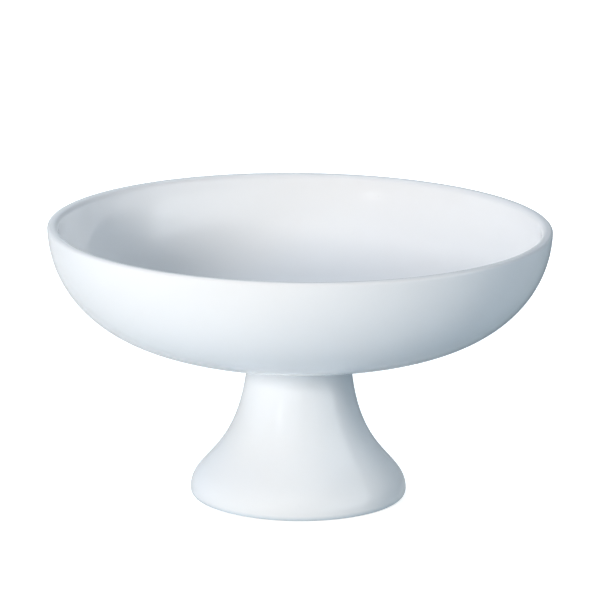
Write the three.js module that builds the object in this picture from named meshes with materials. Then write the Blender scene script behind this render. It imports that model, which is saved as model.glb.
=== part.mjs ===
// Footed fruit bowl in glazed porcelain: an open dish luted to a hollow flared pedestal.
// Millimetres, +Z up. The origin is the middle of the standing ring, on the table.

import * as THREE from "three";

// Overall sizes
const RIM_DIAMETER = 250;
const OVERALL_HEIGHT = 137.5;
const BASE_HEIGHT = 76; // table to the flat underside of the bowl

// Bowl: lip, wall and floor
const BASE_DIAMETER = 84;
const LIP_THICKNESS = 5.5;
const LIP_OUTER_ROUND = 1.5;
const LIP_INNER_ROUND = 3;
const FLOOR_THICKNESS = 7;
const WALL_LEAN_DEGREES = 2; // at the lip, inwards going down
const WALL_DROP = 29.5; // how strongly the wall holds its way down from the lip
const WALL_SPREAD = 58; // how strongly the underside holds its way out from the base

// Pedestal: neck, flare and foot
const NECK_DIAMETER = 51;
const NECK_WALL = 6;
const NECK_FLARE_DEGREES = 2; // at the top of the stem, outwards going down
const NECK_FALL = 55.5; // how strongly the stem holds its way down from the neck
const FOOT_DIAMETER = 108;
const FOOT_SHOULDER = 16; // how strongly the foot holds its way up from the roll
const FOOT_ROLL = 3;
const STANDING_WIDTH = 5; // flat ring that meets the table
const FOOT_INNER_ROUND = 1.5;

// Joint between bowl and pedestal
const SLIP_THICKNESS = 1.2;
const SLIP_FILLET = 1.5; // reach of the sponged fillet along the underside of the bowl
const LOCATING_DEPTH = 2.5; // ring under the bowl that centres it in the neck
const LOCATING_WIDTH = 4;
const LOCATING_ROUND = 0.8;
const LOCATING_CLEARANCE = 0.5;

// Facets
const TURN_SEGMENTS = 72;
const SIDE_STEPS = 13;
const ROUND_STEPS = 4;
const SAME_POINT = 1e-6; // points of an outline closer than this are one point

// Angles in the plane of an outline, from the outward direction
const UP = Math.PI / 2;
const INWARD = Math.PI;
const DOWN = 1.5 * Math.PI;
const OUTWARD = 2 * Math.PI;

const rimRadius = RIM_DIAMETER / 2;
const baseRadius = BASE_DIAMETER / 2;
const neckRadius = NECK_DIAMETER / 2;
const boreRadius = neckRadius - NECK_WALL;
const footRadius = FOOT_DIAMETER / 2;
const floorHeight = BASE_HEIGHT + FLOOR_THICKNESS;
const landHeight = BASE_HEIGHT - SLIP_THICKNESS;
const wallLean = THREE.MathUtils.degToRad(WALL_LEAN_DEGREES);
const neckFlare = THREE.MathUtils.degToRad(NECK_FLARE_DEGREES);

const porcelain = new THREE.MeshStandardMaterial({ color: 0xeef1f4, roughness: 0.12, metalness: 0 });
const glazedSlip = new THREE.MeshStandardMaterial({ color: 0xe9edf1, roughness: 0.18, metalness: 0 });

/** A point of a turned outline: distance from the axis, height above the table. */
function at(radius, height) {
  return new THREE.Vector2(radius, height);
}

/** Points along a round of the given radius, from one angle to another. */
function round(centre, radius, fromAngle, toAngle) {
  const clockwise = toAngle < fromAngle;
  const arc = new THREE.EllipseCurve(centre.x, centre.y, radius, radius, fromAngle, toAngle, clockwise);
  return arc.getPoints(ROUND_STEPS);
}

/** Points along a smooth run between two places, with the direction and reach it has at each end. */
function sweep(from, fromReach, to, toReach) {
  const curve = new THREE.CubicBezierCurve(from, from.clone().add(fromReach), to.clone().add(toReach), to);
  return curve.getPoints(SIDE_STEPS);
}

/** A solid of revolution about +Z. The outline runs with the material on its left. */
function turned(name, outline, material) {
  const points = outline.filter((point, i) => i === 0 || point.distanceTo(outline[i - 1]) > SAME_POINT);
  const geometry = new THREE.LatheGeometry(points, TURN_SEGMENTS);
  geometry.rotateX(Math.PI / 2);
  const mesh = new THREE.Mesh(geometry, material);
  mesh.name = name;
  return mesh;
}

/** The dish: flat base with its locating ring, outer wall, rounded lip, inner wall and floor. */
function makeBowl() {
  const ringOuter = boreRadius - LOCATING_CLEARANCE;
  const ringInner = ringOuter - LOCATING_WIDTH;
  const ringFoot = BASE_HEIGHT - LOCATING_DEPTH;
  const ringInnerCentre = at(ringInner + LOCATING_ROUND, ringFoot + LOCATING_ROUND);
  const ringOuterCentre = at(ringOuter - LOCATING_ROUND, ringFoot + LOCATING_ROUND);
  const lipOuterCentre = at(rimRadius - LIP_OUTER_ROUND, OVERALL_HEIGHT - LIP_OUTER_ROUND);
  const lipInnerCentre = at(rimRadius - LIP_THICKNESS + LIP_INNER_ROUND, OVERALL_HEIGHT - LIP_INNER_ROUND);

  const outerLip = round(lipOuterCentre, LIP_OUTER_ROUND, -wallLean, UP);
  const innerLip = round(lipInnerCentre, LIP_INNER_ROUND, UP, INWARD - wallLean);
  const outerTop = outerLip[0];
  const innerTop = innerLip[innerLip.length - 1];
  const baseEdge = at(baseRadius, BASE_HEIGHT);
  const floorEdge = at(baseRadius, floorHeight);

  // The inner wall keeps the outer wall's curve, in proportion to its own depth and width
  const dropShare = (innerTop.y - floorEdge.y) / (outerTop.y - baseEdge.y);
  const spreadShare = (innerTop.x - floorEdge.x) / (outerTop.x - baseEdge.x);
  const lipReach = at(-Math.sin(wallLean), -Math.cos(wallLean)).multiplyScalar(WALL_DROP);
  const baseReach = at(WALL_SPREAD, 0);
  const innerLipReach = lipReach.clone().multiplyScalar(dropShare);
  const floorReach = baseReach.clone().multiplyScalar(spreadShare);

  return turned("bowl", [
    at(0, BASE_HEIGHT),
    at(ringInner, BASE_HEIGHT),
    ...round(ringInnerCentre, LOCATING_ROUND, INWARD, DOWN),
    ...round(ringOuterCentre, LOCATING_ROUND, DOWN, OUTWARD),
    at(ringOuter, BASE_HEIGHT),
    ...sweep(baseEdge, baseReach, outerTop, lipReach),
    ...outerLip,
    ...innerLip,
    ...sweep(innerTop, innerLipReach, floorEdge, floorReach),
    at(0, floorHeight),
  ], porcelain);
}

/** The pedestal: hollow stem that flares to a rolled foot, open underneath and at the neck. */
function makePedestal() {
  const rollCentre = at(footRadius - FOOT_ROLL, FOOT_ROLL);
  const hollowRadius = rollCentre.x - STANDING_WIDTH - FOOT_INNER_ROUND;
  const hollowCentre = at(hollowRadius + FOOT_INNER_ROUND, FOOT_INNER_ROUND);
  const hollowEdge = at(hollowRadius, FOOT_INNER_ROUND);
  const footEdge = at(footRadius, FOOT_ROLL);
  const neckEdge = at(neckRadius, landHeight);
  const boreEdge = at(boreRadius, landHeight);

  const neckReach = at(Math.sin(neckFlare), -Math.cos(neckFlare)).multiplyScalar(NECK_FALL);
  const footReach = at(0, FOOT_SHOULDER);

  return turned("pedestal", [
    ...round(hollowCentre, FOOT_INNER_ROUND, INWARD, DOWN),
    ...round(rollCentre, FOOT_ROLL, DOWN, OUTWARD),
    ...sweep(footEdge, footReach, neckEdge, neckReach),
    ...sweep(boreEdge, neckReach, hollowEdge, footReach),
  ], porcelain);
}

/** The luting ring between the pedestal's top and the bowl's base, sponged to a small fillet outside. */
function makeJoiningSlip() {
  const fillet = new THREE.QuadraticBezierCurve(
    at(neckRadius, landHeight),
    at(neckRadius, BASE_HEIGHT),
    at(neckRadius + SLIP_FILLET, BASE_HEIGHT),
  );
  return turned("joining_slip", [
    at(boreRadius, landHeight),
    ...fillet.getPoints(ROUND_STEPS),
    at(boreRadius, BASE_HEIGHT),
    at(boreRadius, landHeight),
  ], glazedSlip);
}

const fruitBowl = new THREE.Group();
fruitBowl.add(makeBowl(), makePedestal(), makeJoiningSlip());

export default fruitBowl;
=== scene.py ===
"""Looks of the footed fruit bowl: an open porcelain dish luted to a hollow flared pedestal.

Sizes of the pieces and their finishes are in millimetres until a mesh or a texture is made from
them, and those of the studio are in metres. +Z is up, and the origin is the middle of the standing
ring on the table, as in the frame.
"""

from __future__ import annotations

import logging
import math
from dataclasses import dataclass, field
from enum import Enum

import bpy
from mathutils import Matrix, Vector


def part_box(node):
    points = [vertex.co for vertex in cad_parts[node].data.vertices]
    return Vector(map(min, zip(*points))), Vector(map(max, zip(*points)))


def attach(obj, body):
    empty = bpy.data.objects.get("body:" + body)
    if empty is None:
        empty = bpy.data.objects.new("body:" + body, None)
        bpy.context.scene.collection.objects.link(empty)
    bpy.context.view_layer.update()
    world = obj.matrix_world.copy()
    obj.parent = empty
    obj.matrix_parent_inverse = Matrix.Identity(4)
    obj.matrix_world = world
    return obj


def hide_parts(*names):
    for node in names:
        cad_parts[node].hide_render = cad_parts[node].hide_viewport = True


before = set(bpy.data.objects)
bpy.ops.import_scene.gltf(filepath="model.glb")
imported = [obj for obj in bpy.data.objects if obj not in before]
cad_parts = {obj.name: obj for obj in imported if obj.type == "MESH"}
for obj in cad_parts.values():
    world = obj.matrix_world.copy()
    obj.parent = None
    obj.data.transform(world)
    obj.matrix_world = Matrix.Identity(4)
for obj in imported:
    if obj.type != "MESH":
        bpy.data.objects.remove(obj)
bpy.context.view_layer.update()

LOG = logging.getLogger("footed_fruit_bowl")
MM = 0.001  # metres in a millimetre
SAME_POINT = 1e-4  # millimetres; points of an outline closer than this are one point
WELD_DISTANCE = 2e-3  # millimetres; points of a turned mesh closer than this are welded
DEPTH = "glaze_depth"  # attribute: depth of the glaze, in millimetres
RUN = "turning_run"  # attribute: way along the outline, in millimetres
LEVEL = "level"  # attribute: strength of the light across a lamp's face
COLOUR_A, COLOUR_B = 6, 7  # colour inputs of a Mix node
COLOUR_MIXED = 2  # its colour output


class Slot(Enum):
    """Material slots of the record."""

    PORCELAIN = "glazed_porcelain"
    SLIP = "glazed_slip"


class Way(Enum):
    """Directions in the plane of an outline, in degrees from the outward one."""

    DOWN = -90.0
    OUTWARD = 0.0
    UP = 90.0
    INWARD = 180.0
    UNDER = 270.0


class Glaze(Enum):
    """Depths to which glaze settles on the piece, in millimetres."""

    BARE = 0.0
    LIP = 0.12
    WALL = 0.3
    POOL = 0.6


def linear(code: str) -> tuple[float, float, float, float]:
    """Turn an sRGB hex colour into linear light.

    Args:
        code: Colour as "#RRGGBB".

    Returns:
        Linear red, green and blue, and an alpha of 1.
    """
    channels = [int(code[i:i + 2], 16) / 255 for i in (1, 3, 5)]
    light = [c / 12.92 if c <= 0.04045 else ((c + 0.055) / 1.055) ** 2.4 for c in channels]
    return (*light, 1.0)


def per_mm(size: float) -> float:
    """Texture scale, in metres, at which one feature of a pattern is this many millimetres wide."""
    return 1.0 / (size * MM)


def add_node(tree: bpy.types.NodeTree, kind: str, inputs: dict[str | int, object] | None = None,
             **settings: object) -> bpy.types.Node:
    """Add a node to a tree, with its settings, input values and links.

    Args:
        tree: Tree that the node joins.
        kind: Type of node.
        inputs: Values or output sockets by the name or number of the input they go to.
        settings: Values of the node's own properties.

    Returns:
        The new node.
    """
    node = tree.nodes.new(kind)
    for name, value in settings.items():
        setattr(node, name, value)
    for key, value in (inputs or {}).items():
        if isinstance(value, bpy.types.NodeSocket):
            tree.links.new(value, node.inputs[key])
        else:
            node.inputs[key].default_value = value
    return node


def calculate(tree: bpy.types.NodeTree, operation: str, *values: object) -> bpy.types.NodeSocket:
    """Add a node that does one sum.

    Args:
        tree: Tree that the node joins.
        operation: What it does.
        values: Numbers or output sockets that it does it with.

    Returns:
        The socket with the outcome.
    """
    inputs = dict(enumerate(values))
    return add_node(tree, "ShaderNodeMath", inputs, operation=operation).outputs[0]


def remap(tree: bpy.types.NodeTree, value: bpy.types.NodeSocket, source: tuple[object, object],
          target: tuple[float, float] = (0.0, 1.0), kind: str = "LINEAR") -> bpy.types.NodeSocket:
    """Add a node that maps one range of values to another.

    Args:
        tree: Tree that the node joins.
        value: Socket with the value.
        source: Ends of the range that it comes from, as numbers or output sockets.
        target: What these ends become.
        kind: How it goes over from one end to the other.

    Returns:
        The socket with the outcome.
    """
    inputs = {"Value": value, "From Min": source[0], "From Max": source[1],
              "To Min": target[0], "To Max": target[1]}
    return add_node(tree, "ShaderNodeMapRange", inputs, interpolation_type=kind).outputs[0]


def noise(tree: bpy.types.NodeTree, place: bpy.types.NodeSocket, width: float,
          detail: float) -> bpy.types.NodeSocket:
    """Add a node with a pattern that drifts from place to place.

    Args:
        tree: Tree that the node joins.
        place: Socket with the place on the piece.
        width: Width of the pattern's features, in millimetres.
        detail: Number of finer layers in it.

    Returns:
        The socket with the pattern's value.
    """
    inputs = {"Vector": place, "Scale": per_mm(width), "Detail": detail}
    return add_node(tree, "ShaderNodeTexNoise", inputs).outputs["Fac"]


def blend(tree: bpy.types.NodeTree, share: bpy.types.NodeSocket,
          first: str | bpy.types.NodeSocket, second: str) -> bpy.types.NodeSocket:
    """Add a node that goes over from one colour to another.

    Args:
        tree: Tree that the node joins.
        share: Socket with the share of the second colour.
        first: First colour as "#RRGGBB", or the socket that gives it.
        second: Second colour as "#RRGGBB".

    Returns:
        The socket with the blend.
    """
    start = linear(first) if isinstance(first, str) else first
    inputs = {"Factor": share, COLOUR_A: start, COLOUR_B: linear(second)}
    return add_node(tree, "ShaderNodeMix", inputs, data_type="RGBA").outputs[COLOUR_MIXED]


@dataclass
class Outline:
    """Outline of a turned piece, drawn run by run with the material on its left.

    Attributes:
        closed: Whether the last point joins the first.
        points: Distance from the axis and height of each point, in millimetres.
        depths: Depth of the glaze at each point, in millimetres.
    """

    closed: bool = False
    points: list[Vector] = field(default_factory=list)
    depths: list[float] = field(default_factory=list)

    def _run(self, places: list[Vector], glaze: Glaze) -> Outline:
        """Add one run of places.

        Args:
            places: Points of the run, of which the first may be where the outline already is.
            glaze: Depth that the glaze goes over to along the run.

        Returns:
            The outline itself.
        """
        fresh = [p for p in places if not self.points or (p - self.points[-1]).length > SAME_POINT]
        start = self.depths[-1] if self.depths else glaze.value
        for step, place in enumerate(fresh, 1):
            self.points.append(place)
            self.depths.append(start + (glaze.value - start) * step / len(fresh))
        return self

    def line(self, end: Vector, glaze: Glaze, steps: int = 1) -> Outline:
        """Draw a straight run.

        Args:
            end: Where the run ends.
            glaze: Depth of the glaze there.
            steps: Number of equal parts.

        Returns:
            The outline itself.
        """
        if not self.points:
            return self._run([end], glaze)
        start = self.points[-1]
        return self._run([start.lerp(end, i / steps) for i in range(1, steps + 1)], glaze)

    def round(self, centre: Vector, radius: float, start: float, end: float, glaze: Glaze,
              end_radius: float | None = None, steps: int = 8) -> Outline:
        """Draw a round.

        Args:
            centre: Middle of the round.
            radius: Its radius.
            start: Angle of its first point from the outward direction, in degrees.
            end: Angle of its last point.
            glaze: Depth of the glaze at its end.
            end_radius: Radius that it goes over to, where that is another.
            steps: Number of equal parts.

        Returns:
            The outline itself.
        """
        last = radius if end_radius is None else end_radius
        places = []
        for i in range(steps + 1):
            share = i / steps
            angle = math.radians(start + (end - start) * share)
            reach = radius + (last - radius) * share
            places.append(centre + reach * Vector((math.cos(angle), math.sin(angle))))
        return self._run(places, glaze)

    def sweep(self, start_reach: Vector, end: Vector, end_reach: Vector, glaze: Glaze,
              steps: int = 56) -> Outline:
        """Draw a smooth run from where the outline is, a cubic curve.

        Args:
            start_reach: Direction in which it leaves, and how strongly it holds it.
            end: Where it ends.
            end_reach: Direction back from its end, and how strongly it holds it.
            glaze: Depth of the glaze at its end.
            steps: Number of parts.

        Returns:
            The outline itself.
        """
        start = self.points[-1]
        knots = (start, start + start_reach, end + end_reach, end)
        places = []
        for i in range(1, steps + 1):
            t = i / steps
            shares = ((1 - t) ** 3, 3 * t * (1 - t) ** 2, 3 * t * t * (1 - t), t ** 3)
            weighed = [share * knot for share, knot in zip(shares, knots)]
            places.append(sum(weighed, Vector((0.0, 0.0))))
        return self._run(places, glaze)

    def mesh(self, name: str) -> bpy.types.Mesh:
        """Make the outline a mesh of edges, in metres, that carries its depth of glaze and its run.

        Args:
            name: Name of the mesh.

        Returns:
            The mesh, with distance from the axis as x and height as -y, which the wheel sets
            upright.
        """
        count = len(self.points)
        edges = [(i, (i + 1) % count) for i in range(count if self.closed else count - 1)]
        mesh = bpy.data.meshes.new(name)
        mesh.from_pydata([(p.x * MM, -p.y * MM, 0.0) for p in self.points], edges, [])
        runs = [0.0]
        for before, after in zip(self.points, self.points[1:]):
            runs.append(runs[-1] + (after - before).length)
        for attribute, values in ((DEPTH, self.depths), (RUN, runs)):
            mesh.attributes.new(attribute, "FLOAT", "POINT").data.foreach_set("value", values)
        return mesh


@dataclass
class PottersWheel:
    """Geometry Nodes tree that turns an outline about +Z, fires it and gives it its two finishes.

    Attributes:
        tree: The tree, once it is built.
        sockets: Identifier of each named input.
        hair: Radius of the circle that carries the outline round, in metres.
        wiped_below: Depth of the glaze under which the bare body shows, in millimetres.
    """

    tree: bpy.types.GeometryNodeTree | None = None
    sockets: dict[str, str] = field(default_factory=dict)
    hair: float = 1e-6
    wiped_below: float = 0.0012

    def build(self) -> PottersWheel:
        """Build the tree.

        Returns:
            The wheel itself.
        """
        tree = bpy.data.node_groups.new("turned_and_fired", "GeometryNodeTree")
        self.tree = tree
        tree.interface.new_socket("Geometry", in_out="OUTPUT", socket_type="NodeSocketGeometry")
        for name, kind in (("Outline", "Geometry"), ("Segments", "Int"), ("Weld Distance", "Float"),
                           ("Crease Angle", "Float"), ("Kiln Warp", "Float"),
                           ("Warp Lobes", "Int"), ("Warp From Height", "Float"),
                           ("Warp To Height", "Float"), ("Kiln Lean", "Vector"),
                           ("Glaze", "Material"), ("Bare Body", "Material")):
            socket = tree.interface.new_socket(name, in_out="INPUT",
                                               socket_type="NodeSocket" + kind)
            self.sockets[name] = socket.identifier

        given = add_node(tree, "NodeGroupInput").outputs
        circle = add_node(tree, "GeometryNodeCurvePrimitiveCircle",
                          {"Resolution": given["Segments"], "Radius": self.hair})
        clockwise = add_node(tree, "GeometryNodeReverseCurve", {"Curve": circle.outputs[0]})
        profile = add_node(tree, "GeometryNodeMeshToCurve", {"Mesh": given["Outline"]})
        turned = add_node(tree, "GeometryNodeCurveToMesh",
                          {"Curve": clockwise.outputs[0], "Profile Curve": profile.outputs[0]})
        welded = add_node(tree, "GeometryNodeMergeByDistance",
                          {"Geometry": turned.outputs[0], "Distance": given["Weld Distance"]})
        fired = add_node(tree, "GeometryNodeSetPosition",
                         {"Geometry": welded.outputs[0], "Offset": self._warp(given)})
        smooth = add_node(tree, "GeometryNodeSetShadeSmooth",
                          {"Geometry": fired.outputs[0], "Shade Smooth": True}, domain="FACE")
        bend = add_node(tree, "GeometryNodeInputMeshEdgeAngle")
        sharp = calculate(tree, "GREATER_THAN", bend.outputs[0], given["Crease Angle"])
        creased = add_node(tree, "GeometryNodeSetShadeSmooth",
                           {"Geometry": smooth.outputs[0], "Selection": sharp,
                            "Shade Smooth": False}, domain="EDGE")
        realized = add_node(tree, "GeometryNodeRealizeInstances", {"Geometry": creased.outputs[0]})
        glazed = add_node(tree, "GeometryNodeSetMaterial",
                          {"Geometry": realized.outputs[0], "Material": given["Glaze"]})
        depth = add_node(tree, "GeometryNodeInputNamedAttribute", {"Name": DEPTH},
                         data_type="FLOAT")
        wiped = calculate(tree, "LESS_THAN", depth.outputs["Attribute"], self.wiped_below)
        finished = add_node(tree, "GeometryNodeSetMaterial",
                            {"Geometry": glazed.outputs[0], "Selection": wiped,
                             "Material": given["Bare Body"]})
        add_node(tree, "NodeGroupOutput", {"Geometry": finished.outputs[0]})
        return self

    def _warp(self, given: bpy.types.bpy_prop_collection) -> bpy.types.NodeSocket:
        """Add the nodes that pull a piece out of round and let it lean, growing with its height.

        Args:
            given: Outputs of the tree's input node.

        Returns:
            The socket with each point's offset.
        """
        tree = self.tree
        spot = add_node(tree, "GeometryNodeInputPosition").outputs[0]
        place = add_node(tree, "ShaderNodeSeparateXYZ", {0: spot}).outputs
        angle = calculate(tree, "ARCTAN2", place["Y"], place["X"])
        lobes = calculate(tree, "SINE", calculate(tree, "MULTIPLY", angle, given["Warp Lobes"]))
        rise = remap(tree, place["Z"], (given["Warp From Height"], given["Warp To Height"]),
                     kind="SMOOTHSTEP")
        swell = calculate(tree, "MULTIPLY", lobes, rise)
        pull = calculate(tree, "MULTIPLY", swell, given["Kiln Warp"])
        level = add_node(tree, "ShaderNodeCombineXYZ", {"X": place["X"], "Y": place["Y"]})
        outward = add_node(tree, "ShaderNodeVectorMath", {0: level.outputs[0]},
                           operation="NORMALIZE")
        sideways = add_node(tree, "ShaderNodeVectorMath", {0: outward.outputs[0], "Scale": pull},
                            operation="SCALE")
        slope = add_node(tree, "ShaderNodeVectorMath", {0: spot, 1: given["Kiln Lean"]},
                         operation="DOT_PRODUCT")
        settle = calculate(tree, "MULTIPLY", slope.outputs["Value"], rise)
        upwards = add_node(tree, "ShaderNodeCombineXYZ", {"Z": settle})
        offset = add_node(tree, "ShaderNodeVectorMath",
                          {0: sideways.outputs[0], 1: upwards.outputs[0]})
        return offset.outputs[0]


@dataclass
class TurnedPiece:
    """A piece that is turned about +Z, glazed and fired, and stands for one node of the frame.

    Attributes:
        node: CAD node that it stands for.
        slot: Material slot that its finish belongs to; not used.
        segments: Facets round the axis.
        crease: Bend at an edge past which it stays sharp, in degrees.
        kiln_warp: How far the kiln pulls its top out of round.
        warp_lobes: Number of places where it is pulled outwards.
        kiln_lean: How far its top leans, in degrees.
        lean_azimuth: Side on which that lifts it, from the front to the right, in degrees.
        piece: The finished object, once it is built.
    """

    node: str = ""
    slot: Slot = Slot.PORCELAIN
    segments: int = 288
    crease: float = 34.0
    kiln_warp: float = 0.0
    warp_lobes: int = 2
    kiln_lean: float = 0.0
    lean_azimuth: float = 0.0
    piece: bpy.types.Object | None = None

    def outline(self) -> Outline:
        """Draw the outline that the piece is turned to."""
        raise NotImplementedError

    def box(self) -> tuple[Vector, Vector]:
        """Give the node's lowest and highest corners, in millimetres."""
        low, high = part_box(self.node)
        return Vector(low) / MM, Vector(high) / MM

    def build(self, wheel: PottersWheel, finish: bpy.types.Material,
              bare: bpy.types.Material) -> None:
        """Turn the piece on the wheel, dress it and make it a plain mesh.

        Args:
            wheel: Tree that turns it.
            finish: Its glaze.
            bare: What shows where the glaze was wiped off.
        """
        low, high = self.box()
        side = math.radians(self.lean_azimuth)
        slope = math.tan(math.radians(self.kiln_lean))
        lean = slope * Vector((math.sin(side), -math.cos(side), 0.0))
        outline = self.outline().mesh(self.node + "_outline")
        piece = bpy.data.objects.new(self.node + "_glazed", outline)
        bpy.context.scene.collection.objects.link(piece)
        turning = piece.modifiers.new("turning", "NODES")
        turning.node_group = wheel.tree
        values = {
            "Segments": self.segments,
            "Weld Distance": WELD_DISTANCE * MM,
            "Crease Angle": math.radians(self.crease),
            "Kiln Warp": self.kiln_warp * MM,
            "Warp Lobes": self.warp_lobes,
            "Warp From Height": low.z * MM,
            "Warp To Height": high.z * MM,
            "Kiln Lean": lean,
            "Glaze": finish,
            "Bare Body": bare,
        }
        for name, value in values.items():
            turning[wheel.sockets[name]] = value
        graph = bpy.context.evaluated_depsgraph_get()
        mesh = bpy.data.meshes.new_from_object(piece.evaluated_get(graph))
        piece.modifiers.remove(turning)
        piece.data = mesh
        mesh.name = piece.name
        bpy.data.meshes.remove(outline)
        self.piece = piece

    def place(self) -> None:
        """Let the piece ride on the frame in its node's stead."""
        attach(self.piece, "root")
        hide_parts(self.node)


@dataclass
class Bowl(TurnedPiece):
    """The dish: flat base with its locating ring, outer wall, rounded lip, inner wall and floor.

    Attributes:
        base_diameter: Width of the flat underside.
        lip_thickness: Width of the lip.
        lip_outer_round: Round at the lip's outer edge.
        lip_inner_round: Round at the lip's inner edge.
        floor_thickness: Depth of the body under the floor.
        wall_lean: Lean of the wall at the lip, inwards going down, in degrees.
        wall_drop: How strongly the wall holds its way down from the lip.
        wall_spread: How strongly the underside holds its way out from the base.
        locating_bore: Width inside the ring that centres the bowl in the neck.
        locating_width: Thickness of that ring.
        locating_depth: How far it hangs below the base.
        locating_round: Round at its lower edges.
    """

    node: str = "bowl"
    kiln_warp: float = 0.25
    kiln_lean: float = 0.25
    lean_azimuth: float = -70.0
    base_diameter: float = 84.0
    lip_thickness: float = 5.5
    lip_outer_round: float = 1.5
    lip_inner_round: float = 3.0
    floor_thickness: float = 7.0
    wall_lean: float = 2.0
    wall_drop: float = 29.5
    wall_spread: float = 58.0
    locating_bore: float = 30.0
    locating_width: float = 4.0
    locating_depth: float = 2.5
    locating_round: float = 0.8

    def outline(self) -> Outline:
        """Draw the bowl from the middle of its underside, over the lip, to the middle of its floor.

        Returns:
            The outline.
        """
        low, high = self.box()
        rim, top = high.x, high.z
        base = low.z + self.locating_depth
        floor = base + self.floor_thickness
        edge = self.base_diameter / 2
        lean = math.radians(self.wall_lean)
        ring_inner = self.locating_bore / 2
        ring_outer = ring_inner + self.locating_width
        ring_height = low.z + self.locating_round
        lip_outer = Vector((rim - self.lip_outer_round, top - self.lip_outer_round))
        lip_inner = Vector((rim - self.lip_thickness + self.lip_inner_round,
                            top - self.lip_inner_round))
        outer_top = lip_outer + self.lip_outer_round * Vector((math.cos(lean), -math.sin(lean)))
        inner_top = lip_inner + self.lip_inner_round * Vector((-math.cos(lean), math.sin(lean)))

        # The inner wall keeps the outer wall's curve, in proportion to its own depth and width
        drop_share = (inner_top.y - floor) / (outer_top.y - base)
        spread_share = (inner_top.x - edge) / (outer_top.x - edge)
        drop = self.wall_drop * Vector((-math.sin(lean), -math.cos(lean)))
        spread = Vector((self.wall_spread, 0.0))

        line = Outline()
        line.line(Vector((0.0, base)), Glaze.WALL)
        line.line(Vector((ring_inner, base)), Glaze.POOL, steps=4)
        line.round(Vector((ring_inner + self.locating_round, ring_height)), self.locating_round,
                   Way.INWARD.value, Way.UNDER.value, Glaze.WALL)
        line.round(Vector((ring_outer - self.locating_round, ring_height)), self.locating_round,
                   Way.DOWN.value, Way.OUTWARD.value, Glaze.WALL)
        line.line(Vector((ring_outer, base)), Glaze.POOL)
        line.line(Vector((edge, base)), Glaze.WALL, steps=6)
        line.sweep(spread, outer_top, drop, Glaze.WALL)
        line.round(lip_outer, self.lip_outer_round, -self.wall_lean, Way.UP.value, Glaze.LIP)
        line.round(lip_inner, self.lip_inner_round, Way.UP.value, Way.INWARD.value - self.wall_lean,
                   Glaze.LIP, steps=12)
        line.sweep(drop * drop_share, Vector((edge, floor)), spread * spread_share, Glaze.WALL)
        line.line(Vector((0.0, floor)), Glaze.WALL, steps=8)
        return line


@dataclass
class Pedestal(TurnedPiece):
    """The hollow stem that flares to a rolled foot, with a ring wiped bare where it stands.

    Attributes:
        neck_diameter: Width of the stem at its top.
        neck_wall: Thickness of its wall there.
        neck_flare: Lean of the stem at its top, outwards going down, in degrees.
        neck_fall: How strongly the stem holds its way down from the neck.
        foot_shoulder: How strongly the foot holds its way up from the roll.
        foot_roll: Round at the foot's outer edge.
        standing_width: Width of the flat ring that meets the table.
        inner_round: Round at the ring's inner edge.
        wiped_outer: Angle up the roll where the glaze begins, in degrees.
        wiped_inner: Angle up the inner round where it begins.
        glaze_bead: How far the rolled edge of the glaze stands proud.
        bead_turn: Angle over which that edge rises, in degrees.
    """

    node: str = "pedestal"
    neck_diameter: float = 51.0
    neck_wall: float = 6.0
    neck_flare: float = 2.0
    neck_fall: float = 55.5
    foot_shoulder: float = 16.0
    foot_roll: float = 3.0
    standing_width: float = 5.0
    inner_round: float = 1.5
    wiped_outer: float = -54.0
    wiped_inner: float = 230.0
    glaze_bead: float = 0.25
    bead_turn: float = 6.0

    def outline(self) -> Outline:
        """Draw the pedestal from the hollow under the foot, up its outside and down the hollow.

        Returns:
            The outline.
        """
        _, high = self.box()
        foot, land = high.x, high.z
        roll = Vector((foot - self.foot_roll, self.foot_roll))
        hollow = roll.x - self.standing_width - self.inner_round
        inner = Vector((hollow + self.inner_round, self.inner_round))
        flare = math.radians(self.neck_flare)
        fall = self.neck_fall * Vector((math.sin(flare), -math.cos(flare)))
        shoulder = Vector((0.0, self.foot_shoulder))
        neck = self.neck_diameter / 2
        proud_inner = self.inner_round + self.glaze_bead
        proud_outer = self.foot_roll + self.glaze_bead
        bead_inner = self.wiped_inner - self.bead_turn * self.foot_roll / self.inner_round
        bead_outer = self.wiped_outer + self.bead_turn

        line = Outline(closed=True)
        line.line(Vector((hollow, self.inner_round)), Glaze.WALL)
        line.round(inner, self.inner_round, Way.INWARD.value, bead_inner, Glaze.POOL,
                   end_radius=proud_inner)
        line.round(inner, proud_inner, bead_inner, self.wiped_inner, Glaze.BARE,
                   end_radius=self.inner_round, steps=3)
        line.round(inner, self.inner_round, self.wiped_inner, Way.UNDER.value, Glaze.BARE, steps=4)
        line.round(roll, self.foot_roll, Way.DOWN.value, self.wiped_outer, Glaze.BARE, steps=4)
        line.round(roll, self.foot_roll, self.wiped_outer, bead_outer, Glaze.POOL,
                   end_radius=proud_outer, steps=3)
        line.round(roll, proud_outer, bead_outer, Way.OUTWARD.value, Glaze.WALL,
                   end_radius=self.foot_roll)
        line.sweep(shoulder, Vector((neck, land)), fall, Glaze.WALL)
        line.line(Vector((neck - self.neck_wall, land)), Glaze.WALL)
        line.sweep(fall, Vector((hollow, self.inner_round)), shoulder, Glaze.WALL)

        # The last run ends where the first begins, so its last point is taken off
        line.points.pop()
        line.depths.pop()
        return line


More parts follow.
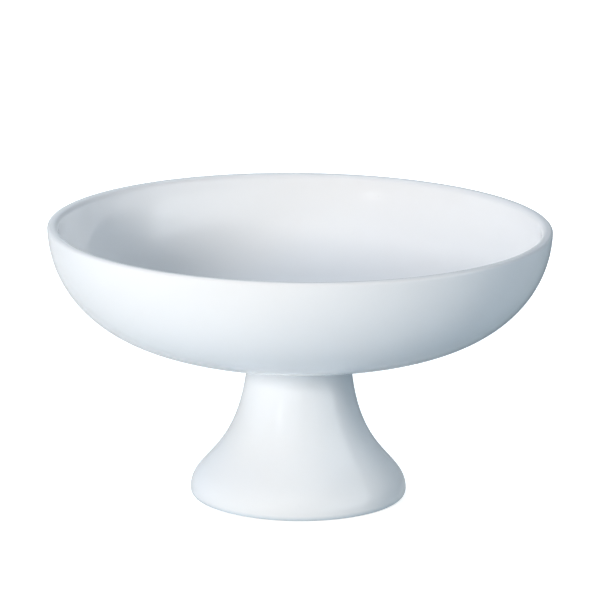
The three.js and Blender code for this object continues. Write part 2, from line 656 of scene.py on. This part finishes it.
@dataclass
class JoiningSlip(TurnedPiece):
    """The luting ring between the pedestal's top and the bowl's base, sponged to a small fillet.

    Attributes:
        fillet: Reach of the fillet along the underside of the bowl.
        neck_wall: Width of the ring on the pedestal's top.
        fillet_steps: Number of parts of the fillet.
    """

    node: str = "joining_slip"
    slot: Slot = Slot.SLIP
    fillet: float = 1.5
    neck_wall: float = 6.0
    fillet_steps: int = 12

    def outline(self) -> Outline:
        """Draw the ring from its inner lower edge, up the fillet and back.

        Returns:
            The outline.
        """
        low, high = self.box()
        outer = high.x - self.fillet
        inner = outer - self.neck_wall
        corner = Vector((outer, high.z))
        tip = Vector((high.x, high.z))
        foot = Vector((outer, low.z))

        # Two thirds of the way to the corner from either end gives the curve of the part's fillet
        line = Outline(closed=True)
        line.line(Vector((inner, low.z)), Glaze.POOL)
        line.line(foot, Glaze.POOL)
        line.sweep((corner - foot) * 2 / 3, tip, (corner - tip) * 2 / 3, Glaze.POOL,
                   steps=self.fillet_steps)
        line.line(Vector((inner, high.z)), Glaze.POOL)
        return line


@dataclass(frozen=True)
class GlazedPorcelain:
    """White porcelain, jiggered and dipped in clear feldspar glaze, then fired to a full gloss.

    The eye gets a cool white that is whitest where the glaze draws thin over the lip and bluest
    where it pools, sharp highlights on a skin that is very slightly uneven, and a rare pinhole.

    Attributes:
        name: Name of the material.
        thin: Colour over the lip.
        body: Colour of the walls.
        pooled: Colour where the glaze is deepest.
        clouded: Tone that the body drifts to from place to place.
        cloud_width: Width of those drifts, in millimetres.
        cloud_detail: Number of finer layers in them.
        pinhole: Colour at the bottom of a pinhole.
        pinhole_width: Width of a pinhole, drawn about twice its size so that it shows.
        pinhole_spacing: Distance between pinholes.
        roughness: Least and greatest roughness of the glaze.
        ior: Index of refraction of the glaze.
        skin_width: Width of the glaze's unevenness, as on an orange.
        skin_height: Height of it.
        skin_detail: Number of finer layers in it.
        ring_width: Width of the rings left by the turning tool.
        ring_height: Height of them under the glaze.
    """

    name: str = "glazed_porcelain_dipped"
    thin: str = "#F3F4F5"
    body: str = "#F0F2F4"
    pooled: str = "#DAE5ED"
    clouded: str = "#EEF1F4"
    cloud_width: float = 45.0
    cloud_detail: float = 2.0
    pinhole: str = "#CFCFC9"
    pinhole_width: float = 0.5
    pinhole_spacing: float = 17.0
    roughness: tuple[float, float] = (0.05, 0.1)
    ior: float = 1.5
    skin_width: float = 5.0
    skin_height: float = 0.006
    skin_detail: float = 1.0
    ring_width: float = 2.6
    ring_height: float = 0.003

    def build(self) -> bpy.types.Material:
        """Make the material.

        Returns:
            The material.
        """
        material = bpy.data.materials.new(self.name)
        material.use_nodes = True
        tree = material.node_tree
        shader = tree.nodes["Principled BSDF"]
        shader.inputs["IOR"].default_value = self.ior
        place = add_node(tree, "ShaderNodeTexCoord").outputs["Object"]
        depth = add_node(tree, "ShaderNodeAttribute", attribute_name=DEPTH).outputs["Fac"]
        run = add_node(tree, "ShaderNodeAttribute", attribute_name=RUN).outputs["Fac"]

        # Colour: glaze drawn thin, at its usual depth and pooled, over a body that drifts in tone
        clouds = noise(tree, place, self.cloud_width, self.cloud_detail)
        white = blend(tree, clouds, self.body, self.clouded)
        drawn = remap(tree, depth, (Glaze.WALL.value, Glaze.LIP.value))
        lip = blend(tree, drawn, white, self.thin)
        settled = remap(tree, depth, (Glaze.WALL.value, Glaze.POOL.value))
        pools = blend(tree, settled, lip, self.pooled)
        cells = add_node(tree, "ShaderNodeTexVoronoi",
                         {"Vector": place, "Scale": per_mm(self.pinhole_spacing)})
        edge = self.pinhole_width / self.pinhole_spacing / 2
        hole = remap(tree, cells.outputs["Distance"], (edge, 0.0))
        colour = blend(tree, hole, pools, self.pinhole)
        tree.links.new(colour, shader.inputs["Base Color"])

        # Gloss: a full glaze, a little duller in its drifts
        gloss = remap(tree, clouds, (0.0, 1.0), self.roughness)
        tree.links.new(gloss, shader.inputs["Roughness"])

        # Relief: tool rings along the outline, the glaze's own skin over them, and the pinholes
        along = calculate(tree, "MULTIPLY", run, 1 / self.ring_width)
        rings = add_node(tree, "ShaderNodeTexNoise", {"W": along, "Scale": 1.0, "Detail": 0.0},
                         noise_dimensions="1D")
        ringed = add_node(tree, "ShaderNodeBump",
                          {"Height": rings.outputs["Fac"], "Distance": self.ring_height * MM})
        skin = noise(tree, place, self.skin_width, self.skin_detail)
        uneven = add_node(tree, "ShaderNodeBump",
                          {"Height": skin, "Distance": self.skin_height * MM,
                           "Normal": ringed.outputs[0]})
        pitted = add_node(tree, "ShaderNodeBump",
                          {"Height": hole, "Distance": Glaze.LIP.value * MM,
                           "Normal": uneven.outputs[0]}, invert=True)
        tree.links.new(pitted.outputs[0], shader.inputs["Normal"])
        return material


@dataclass(frozen=True)
class BarePorcelain:
    """Unglazed porcelain, wiped with a sponge before firing and rubbed smooth after it.

    The eye gets a dry, slightly warm white with a fine grit, and grey scuffs from the shelves it
    has stood on.

    Attributes:
        name: Name of the material.
        body: Colour of the fired clay.
        scuff: Colour of the scuffs.
        scuff_width: Width of a patch of them, in millimetres.
        scuff_detail: Number of finer layers in it.
        scuff_range: Values of the pattern where they begin and where they are full.
        grit_width: Width of the grit, drawn about three times its size so that it shows.
        grit_height: Height of the grit.
        grit_detail: Number of finer layers in it.
        roughness: Least and greatest roughness.
        ior: Index of refraction.
    """

    name: str = "bare_porcelain_wiped"
    body: str = "#EAE5DA"
    scuff: str = "#C6C1B8"
    scuff_width: float = 7.0
    scuff_detail: float = 4.0
    scuff_range: tuple[float, float] = (0.52, 0.75)
    grit_width: float = 0.35
    grit_height: float = 0.03
    grit_detail: float = 1.0
    roughness: tuple[float, float] = (0.7, 0.92)
    ior: float = 1.5

    def build(self) -> bpy.types.Material:
        """Make the material.

        Returns:
            The material.
        """
        material = bpy.data.materials.new(self.name)
        material.use_nodes = True
        tree = material.node_tree
        shader = tree.nodes["Principled BSDF"]
        shader.inputs["IOR"].default_value = self.ior
        place = add_node(tree, "ShaderNodeTexCoord").outputs["Object"]
        patches = noise(tree, place, self.scuff_width, self.scuff_detail)
        colour = blend(tree, remap(tree, patches, self.scuff_range), self.body, self.scuff)
        tree.links.new(colour, shader.inputs["Base Color"])
        grit = noise(tree, place, self.grit_width, self.grit_detail)
        dry = remap(tree, grit, (0.0, 1.0), self.roughness)
        tree.links.new(dry, shader.inputs["Roughness"])
        relief = add_node(tree, "ShaderNodeBump",
                          {"Height": grit, "Distance": self.grit_height * MM})
        tree.links.new(relief.outputs[0], shader.inputs["Normal"])
        return material


@dataclass(frozen=True)
class SoftBox:
    """A soft lamp on a stand, aimed at the bowl.

    Attributes:
        name: Name of the lamp.
        azimuth: Way round from the camera, positive to its right, in degrees.
        elevation: Height above the horizon, in degrees.
        size: Width and height of its face, in metres.
        light: What it gives at the bowl, in watts per square metre.
        colour: Colour of the light.
        mirrored: Whether the glaze shows it.
        distance: How far it stands from the bowl, in metres.
        aim: Height that it is aimed at, in metres.
    """

    name: str
    azimuth: float
    elevation: float
    size: tuple[float, float]
    light: float
    colour: str
    mirrored: bool = False
    distance: float = 1.6
    aim: float = 0.09

    def build(self) -> None:
        """Make the lamp and aim it."""
        lamp = bpy.data.lights.new(self.name, "AREA")
        lamp.shape = "RECTANGLE"
        lamp.size, lamp.size_y = self.size
        lamp.color = linear(self.colour)[:3]
        lamp.energy = self.light * math.pi * self.distance ** 2
        stand = bpy.data.objects.new(self.name, lamp)
        stand.visible_glossy = self.mirrored
        around, up = math.radians(self.azimuth), math.radians(self.elevation)
        way = Vector((math.sin(around) * math.cos(up), -math.cos(around) * math.cos(up),
                      math.sin(up)))
        stand.location = way * self.distance + Vector((0.0, 0.0, self.aim))
        stand.rotation_euler = way.to_track_quat("Z", "Y").to_euler()
        bpy.context.scene.collection.objects.link(stand)


def set_card(name: str, corners: list[Vector], faces: list[tuple[int, ...]],
             material: bpy.types.Material) -> bpy.types.Object:
    """Set up cards of the stage that only the glaze sees.

    Args:
        name: Name of the object.
        corners: Corners of the cards, in metres.
        faces: Numbers of the corners of each card.
        material: What they are covered with.

    Returns:
        The object.
    """
    mesh = bpy.data.meshes.new(name)
    mesh.from_pydata(corners, [], faces)
    mesh.materials.append(material)
    card = bpy.data.objects.new(name, mesh)
    bpy.context.scene.collection.objects.link(card)
    card.visible_camera = False
    card.visible_diffuse = False
    card.visible_shadow = False
    return card


@dataclass(frozen=True)
class LampFace:
    """Face of the side lamp in the glaze: a tall leaning panel, brightest along its far edge.

    Attributes:
        near: Azimuth of its near edge, in degrees to the camera's right.
        far_low: Azimuth of its far edge at the bottom.
        far_high: Azimuth of its far edge at the top.
        low: Elevation of its bottom, in degrees.
        high: Elevation of its top.
        dim: Strength along the near edge.
        bright: Strength along the far edge, at the bottom.
        fall: Share of that, over the near edge's, that is left at the top.
        soft: Share of its width over which the far edge fades.
        colour: Colour of the light.
        distance: How far it stands from the bowl, in metres.
        aim: Height that its angles are measured from, in metres.
        strips: Number of strips across it.
    """

    near: float = 10.0
    far_low: float = 78.0
    far_high: float = 115.0
    low: float = -4.0
    high: float = 44.0
    dim: float = 0.5
    bright: float = 2.6
    fall: float = 0.3
    soft: float = 0.15
    colour: str = "#F3FBFF"
    distance: float = 0.9
    aim: float = 0.09
    strips: int = 20

    def build(self) -> None:
        """Set up the panel."""
        material = bpy.data.materials.new("studio_lamp_face")
        material.use_nodes = True
        tree = material.node_tree
        tree.nodes.clear()
        level = add_node(tree, "ShaderNodeAttribute", attribute_name=LEVEL).outputs["Fac"]
        glow = add_node(tree, "ShaderNodeEmission",
                        {"Color": linear(self.colour), "Strength": level})
        add_node(tree, "ShaderNodeOutputMaterial", {"Surface": glow.outputs[0]})
        edges = ((self.far_low, self.low, 1.0), (self.far_high, self.high, self.fall))
        corners, levels = [], []
        for i in range(self.strips + 1):
            share = i / self.strips
            fade = min(1.0, (1.0 - share) / self.soft)
            for far, rise, left in edges:
                around, up = math.radians(self.near + (far - self.near) * share), math.radians(rise)
                place = Vector((math.sin(around), -math.cos(around), math.tan(up))) * self.distance
                corners.append(place + Vector((0.0, 0.0, self.aim)))
                levels.append((self.dim + (self.bright - self.dim) * share * left) * fade)
        strips = [(i, i + 1, i + 3, i + 2) for i in range(0, 2 * self.strips, 2)]
        panel = set_card("studio_lamp_face", corners, strips, material)
        panel.data.attributes.new(LEVEL, "FLOAT", "POINT").data.foreach_set("value", levels)


@dataclass(frozen=True)
class CardTones:
    """Tones of a card, which goes over from one to the other across the set.

    The tones are painted light and painted shade, which only the glaze reflects.

    Attributes:
        left: Colour on the left.
        right: Colour on the right.
        start: Where the first begins to go over, to the right of the axis, in metres.
        end: Where the second is reached.
        turn: How far the way across is turned from the right towards the back, in degrees.
    """

    left: str
    right: str
    start: float
    end: float
    turn: float = 0.0

    def build(self, name: str) -> bpy.types.Material:
        """Make the material.

        Args:
            name: Name of the material.

        Returns:
            The material.
        """
        material = bpy.data.materials.new(name)
        material.use_nodes = True
        tree = material.node_tree
        tree.nodes.clear()
        spot = add_node(tree, "ShaderNodeTexCoord").outputs["Object"]
        way = Matrix.Rotation(math.radians(self.turn), 3, "Z") @ Vector((1.0, 0.0, 0.0))
        place = add_node(tree, "ShaderNodeVectorMath", {0: spot, 1: way}, operation="DOT_PRODUCT")
        across = remap(tree, place.outputs["Value"], (self.start, self.end), kind="SMOOTHSTEP")
        # The card's tone is painted light going over to painted shade, seen only in the glaze
        grey = blend(tree, across, self.left, self.right)
        glow = add_node(tree, "ShaderNodeEmission", {"Color": grey, "Strength": 1.0})
        add_node(tree, "ShaderNodeOutputMaterial", {"Surface": glow.outputs[0]})
        return material


@dataclass(frozen=True)
class PaintedReflectionTent:
    """Cards round, over and under the set that only the glaze sees, to draw the china's edges.

    They are painted reflections of the room: painted light on the left, towards the key, and
    painted shade on the right.

    Attributes:
        radius: Distance of the walls from the bowl's axis, in metres.
        height: Height of the roof, in metres.
        lift: Height of the sheet over the table, in metres.
        walls: Tones of the walls.
        roof: Tones of the roof.
        sheet: Tones of the sheet.
        sides: Number of walls.
    """

    radius: float = 1.0
    height: float = 1.1
    lift: float = 0.0002
    # Walls, roof and sheet: painted light on the left and painted shade on the right
    walls: CardTones = CardTones("#D6DDE0", "#6A767E", -0.3, 0.4)
    roof: CardTones = CardTones("#FFFFFF", "#606C74", 0.15, 0.55)
    sheet: CardTones = CardTones("#F2F4F4", "#6C7A83", -0.2, 0.22, 20.0)
    sides: int = 24

    def build(self) -> None:
        """Set up the walls, the roof and the sheet."""
        angles = [math.tau * i / self.sides for i in range(self.sides)]
        ring = [self.radius * Vector((math.cos(a), math.sin(a), 0.0)) for a in angles]
        low = [spot + Vector((0.0, 0.0, self.lift)) for spot in ring]
        high = [spot + Vector((0.0, 0.0, self.height)) for spot in ring]
        turns = [(i, (i + 1) % self.sides) for i in range(self.sides)]
        cards = [(i, j, j + self.sides, i + self.sides) for i, j in turns]
        whole = tuple(range(self.sides))
        set_card("studio_tent_walls", low + high, cards, self.walls.build("studio_wall_painted_reflection"))
        set_card("studio_tent_roof", high, [whole], self.roof.build("studio_roof_painted_reflection"))
        set_card("studio_tent_sheet", low, [whole], self.sheet.build("studio_sheet_painted_reflection"))


@dataclass(frozen=True)
class PhotoCamera:
    """The camera of the photograph, found from the outlines of the lip and the foot.

    Attributes:
        back: Distance in front of the bowl's axis, in metres.
        height: Height above the table, in metres.
        aside: Distance to the right of the axis, in metres.
        pitch: How far it looks down, in degrees.
        roll: How far it is tilted to the left, in degrees.
        lens: Focal length, in millimetres.
        sensor: Width of the sensor, in millimetres.
        reach: Distance up to which it sees, in metres.
    """

    back: float = 2.0
    height: float = 0.5905
    aside: float = 0.00018
    pitch: float = 13.805
    roll: float = 0.437
    lens: float = 248.63
    sensor: float = 36.0
    reach: float = 50.0

    def build(self) -> None:
        """Make the camera and give it to the scene."""
        camera = bpy.data.cameras.new("photo_camera")
        camera.lens = self.lens
        camera.sensor_width = self.sensor
        camera.clip_end = self.reach
        stand = bpy.data.objects.new("photo_camera", camera)
        tilt = Matrix.Rotation(math.radians(90.0 - self.pitch), 4, "X")
        turn = Matrix.Rotation(math.radians(self.roll), 4, "Z")
        stand.matrix_world = Matrix.Translation((self.aside, -self.back, self.height)) @ tilt @ turn
        bpy.context.scene.collection.objects.link(stand)
        bpy.context.scene.camera = stand


@dataclass(frozen=True)
class Studio:
    """A pale sweep of floor under soft lamps, with a dim dome of light round them.

    Attributes:
        lamps: The soft lamps.
        dome: Colour of the light from all round.
        dome_light: Strength of it.
        dome_white: White that the camera and reflections see in its stead.
        floor_colour: Colour of the floor.
        floor_roughness: Roughness of the floor.
        floor_white: White that the camera and reflections see beside the lamps' light, so that the
            shadow on the bluish floor is neutral.
        floor_lift: Strength of that white under the bowl.
        floor_fade: Distances from the axis over which that goes over to full white, in metres.
        floor_width: Width of the floor, in metres.
        tent: The cards with the painted light and shade that the glaze reflects.
        face: The side lamp's face.
        camera: The camera.
    """

    lamps: tuple[SoftBox, ...] = (
        SoftBox("key_softbox", -32.0, 15.0, (0.35, 0.35), 2.35, "#FFF9F3"),
        SoftBox("side_softbox", 73.0, 30.0, (0.7, 0.7), 1.06, "#F3FAFF"),
        SoftBox("back_softbox", -108.0, 44.0, (0.5, 0.5), 0.84, "#CFE5FF"),
        SoftBox("rear_softbox", 178.0, 36.0, (0.8, 0.8), 1.3, "#F1F4F7"),
        SoftBox("top_softbox", 90.0, 72.0, (0.8, 0.8), 0.24, "#B4DBFF"),
        SoftBox("catch_light", -37.0, 12.0, (0.15, 0.2), 0.056, "#FFFFFF", mirrored=True,
                distance=0.95),
    )
    dome: str = "#DDE8F4"
    dome_light: float = 0.01
    dome_white: str = "#FFFFFF"
    floor_colour: str = "#CFDCE4"
    floor_roughness: float = 0.9
    floor_white: str = "#FFFBF8"
    floor_lift: float = 0.71
    floor_fade: tuple[float, float] = (0.2, 0.7)
    floor_width: float = 8.0
    tent: PaintedReflectionTent = PaintedReflectionTent()
    face: LampFace = LampFace()
    camera: PhotoCamera = PhotoCamera()

    def build(self) -> None:
        """Make the floor, the world, the lamps, the cards and the camera."""
        self._floor()
        self._world()
        for lamp in self.lamps:
            lamp.build()
        self.tent.build()
        self.face.build()
        self.camera.build()
        bpy.context.scene.view_settings.view_transform = "Standard"

    @staticmethod
    def _seen(tree: bpy.types.NodeTree) -> bpy.types.NodeSocket:
        """Add the nodes that tell a ray that sees the stage from one that only carries its light.

        Args:
            tree: Tree of the material or the world.

        Returns:
            A socket that is 1 for camera, glossy and transmission rays and 0 for the rest.
        """
        path = add_node(tree, "ShaderNodeLightPath").outputs
        mirrored = calculate(tree, "MAXIMUM", path["Is Camera Ray"], path["Is Glossy Ray"])
        return calculate(tree, "MAXIMUM", mirrored, path["Is Transmission Ray"])

    def _floor(self) -> None:
        """Lay the floor, which keeps the shadow and is otherwise seen as white."""
        material = bpy.data.materials.new("studio_floor_matt_paper")
        material.use_nodes = True
        tree = material.node_tree
        shader = tree.nodes["Principled BSDF"]
        shader.inputs["Base Color"].default_value = linear(self.floor_colour)
        shader.inputs["Roughness"].default_value = self.floor_roughness
        shader.inputs["Emission Color"].default_value = linear(self.floor_white)
        spot = add_node(tree, "ShaderNodeTexCoord").outputs["Object"]
        away = add_node(tree, "ShaderNodeVectorMath", {0: spot}, operation="LENGTH")
        white = remap(tree, away.outputs["Value"], self.floor_fade, (self.floor_lift, 1.0),
                      kind="SMOOTHSTEP")
        lift = calculate(tree, "MULTIPLY", self._seen(tree), white)
        tree.links.new(lift, shader.inputs["Emission Strength"])
        mesh = bpy.data.meshes.new("studio_floor")
        half = self.floor_width / 2
        mesh.from_pydata([(-half, -half, 0), (half, -half, 0), (half, half, 0), (-half, half, 0)],
                         [], [(0, 1, 2, 3)])
        mesh.materials.append(material)
        floor = bpy.data.objects.new("studio_floor", mesh)
        bpy.context.scene.collection.objects.link(floor)

    def _world(self) -> None:
        """Make the world: dim light from all round, which is seen as white."""
        world = bpy.data.worlds.new("studio_dome")
        bpy.context.scene.world = world
        world.use_nodes = True
        tree = world.node_tree
        tree.nodes.clear()
        dome = add_node(tree, "ShaderNodeBackground",
                        {"Color": linear(self.dome), "Strength": self.dome_light})
        white = add_node(tree, "ShaderNodeBackground",
                         {"Color": linear(self.dome_white), "Strength": 1.0})
        both = add_node(tree, "ShaderNodeMixShader",
                        {0: self._seen(tree), 1: dome.outputs[0], 2: white.outputs[0]})
        add_node(tree, "ShaderNodeOutputWorld", {"Surface": both.outputs[0]})


def main() -> None:
    """Build the pieces in the order they are put together, then the studio."""
    logging.basicConfig(level=logging.INFO, format="%(name)s: %(message)s")
    wheel = PottersWheel().build()
    porcelain = GlazedPorcelain().build()
    slip = GlazedPorcelain(name="glazed_slip_sponged", body="#E8EEF3", clouded="#E4EBF1").build()
    bare = BarePorcelain().build()
    for part, finish in ((Pedestal(), porcelain), (JoiningSlip(), slip), (Bowl(), porcelain)):
        part.build(wheel, finish, bare)
        part.place()
        LOG.info("%s: %d faces", part.piece.name, len(part.piece.data.polygons))
    Studio().build()
    LOG.info("studio built")


if __name__ == "__main__":
    main()
